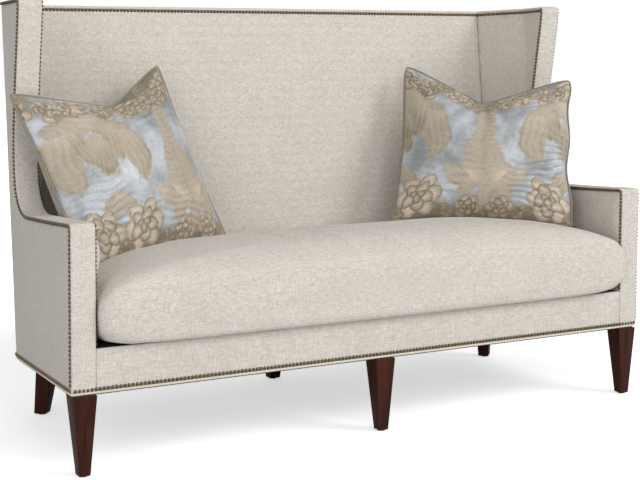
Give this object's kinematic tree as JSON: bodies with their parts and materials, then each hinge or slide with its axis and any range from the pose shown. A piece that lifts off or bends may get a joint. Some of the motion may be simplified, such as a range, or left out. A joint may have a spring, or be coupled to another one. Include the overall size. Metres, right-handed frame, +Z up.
{
  "type": "high back settee",
  "caption": "Upholstered high back settee with swooping wings, low arms, nail head trim, a bench cushion, two damask throw pillows and tapered wood legs",
  "frame": {"origin": "middle of the footprint of the whole settee, on the floor", "axes": "+X to the right as seen from the front, along the length; +Y to the back; +Z up; the settee faces -Y"},
  "size_m": [1.8517, 0.8552, 1.2041],
  "materials": {
    "frame_wood": "planed, unfinished",
    "padding": "polyurethane foam and fibre wrap",
    "linen_tweed": "oatmeal linen tweed",
    "deck_cloth": "plain deck cloth",
    "leg_wood": "dark walnut stain, satin",
    "webbing": "woven jute and elastic",
    "spring_steel": "oiled",
    "clip_steel": "painted",
    "dust_cloth": "thin non-woven",
    "welt_cord": "linen tweed over cord",
    "bolt_steel": "zinc plated",
    "plate_steel": "zinc plated",
    "glide_plastic": "moulded",
    "nail_brass": "antique bronze",
    "damask": "satin damask",
    "pillow_cord": "taupe welt"
  },
  "bodies": {
    "settee": {"front_seat_rail": "frame_wood", "back_seat_rail": "frame_wood", "left_seat_rail": "frame_wood", "right_seat_rail": "frame_wood", "seat_stretchers": "frame_wood", "corner_blocks": "frame_wood", "front_posts": "frame_wood", "arm_rails": "frame_wood", "left_wing_board": "frame_wood", "right_wing_board": "frame_wood", "left_corner_post": "frame_wood", "right_corner_post": "frame_wood", "back_top_rail": "frame_wood", "back_tack_rail": "frame_wood", "back_uprights": "frame_wood", "seat_springs": "spring_steel", "spring_clips": "clip_steel", "front_edge_strip": "frame_wood", "deck_pad": "padding", "deck_cover": "deck_cloth", "front_rail_cover": "linen_tweed", "left_arm_pad": "padding", "right_arm_pad": "padding", "left_wing_pad": "padding", "right_wing_pad": "padding", "inside_arm_covers": "linen_tweed", "inside_wing_covers": "linen_tweed", "back_webbing": "webbing", "back_foam": "padding", "inside_back_cover": "linen_tweed", "outside_back_panel": "linen_tweed", "left_outside_panel": "linen_tweed", "right_outside_panel": "linen_tweed", "corner_panels": "linen_tweed", "left_front_band": "linen_tweed", "right_front_band": "linen_tweed", "top_band": "linen_tweed", "bottom_welt": "welt_cord", "dust_cover": "dust_cloth", "left_front_leg": "leg_wood", "middle_front_leg": "leg_wood", "right_front_leg": "leg_wood", "left_rear_leg": "leg_wood", "middle_rear_leg": "leg_wood", "right_rear_leg": "leg_wood", "leg_bolts": "bolt_steel", "leg_plates": "plate_steel", "leg_glides": "glide_plastic", "outer_nail_rows": "nail_brass", "inner_nail_rows": "nail_brass", "top_nail_row": "nail_brass", "bottom_nail_row": "nail_brass"},
    "cushion": {"seat_cushion": "linen_tweed", "seat_cushion_core": "padding"},
    "pillow_left": {"left_pillow": "damask", "left_pillow_welt": "pillow_cord"},
    "pillow_right": {"right_pillow": "damask", "right_pillow_welt": "pillow_cord"}
  },
  "joints": [
    {"name": "cushion_lift", "type": "slide", "parent": "settee", "child": "cushion", "axis": [0, -0.7071, 0.7071], "range_m": [0, 0.4]},
    {"name": "left_pillow_lift", "type": "slide", "parent": "cushion", "child": "pillow_left", "axis": [0, -0.7071, 0.7071], "range_m": [0, 0.3]},
    {"name": "right_pillow_lift", "type": "slide", "parent": "cushion", "child": "pillow_right", "axis": [0, -0.7071, 0.7071], "range_m": [0, 0.3]}
  ]
}
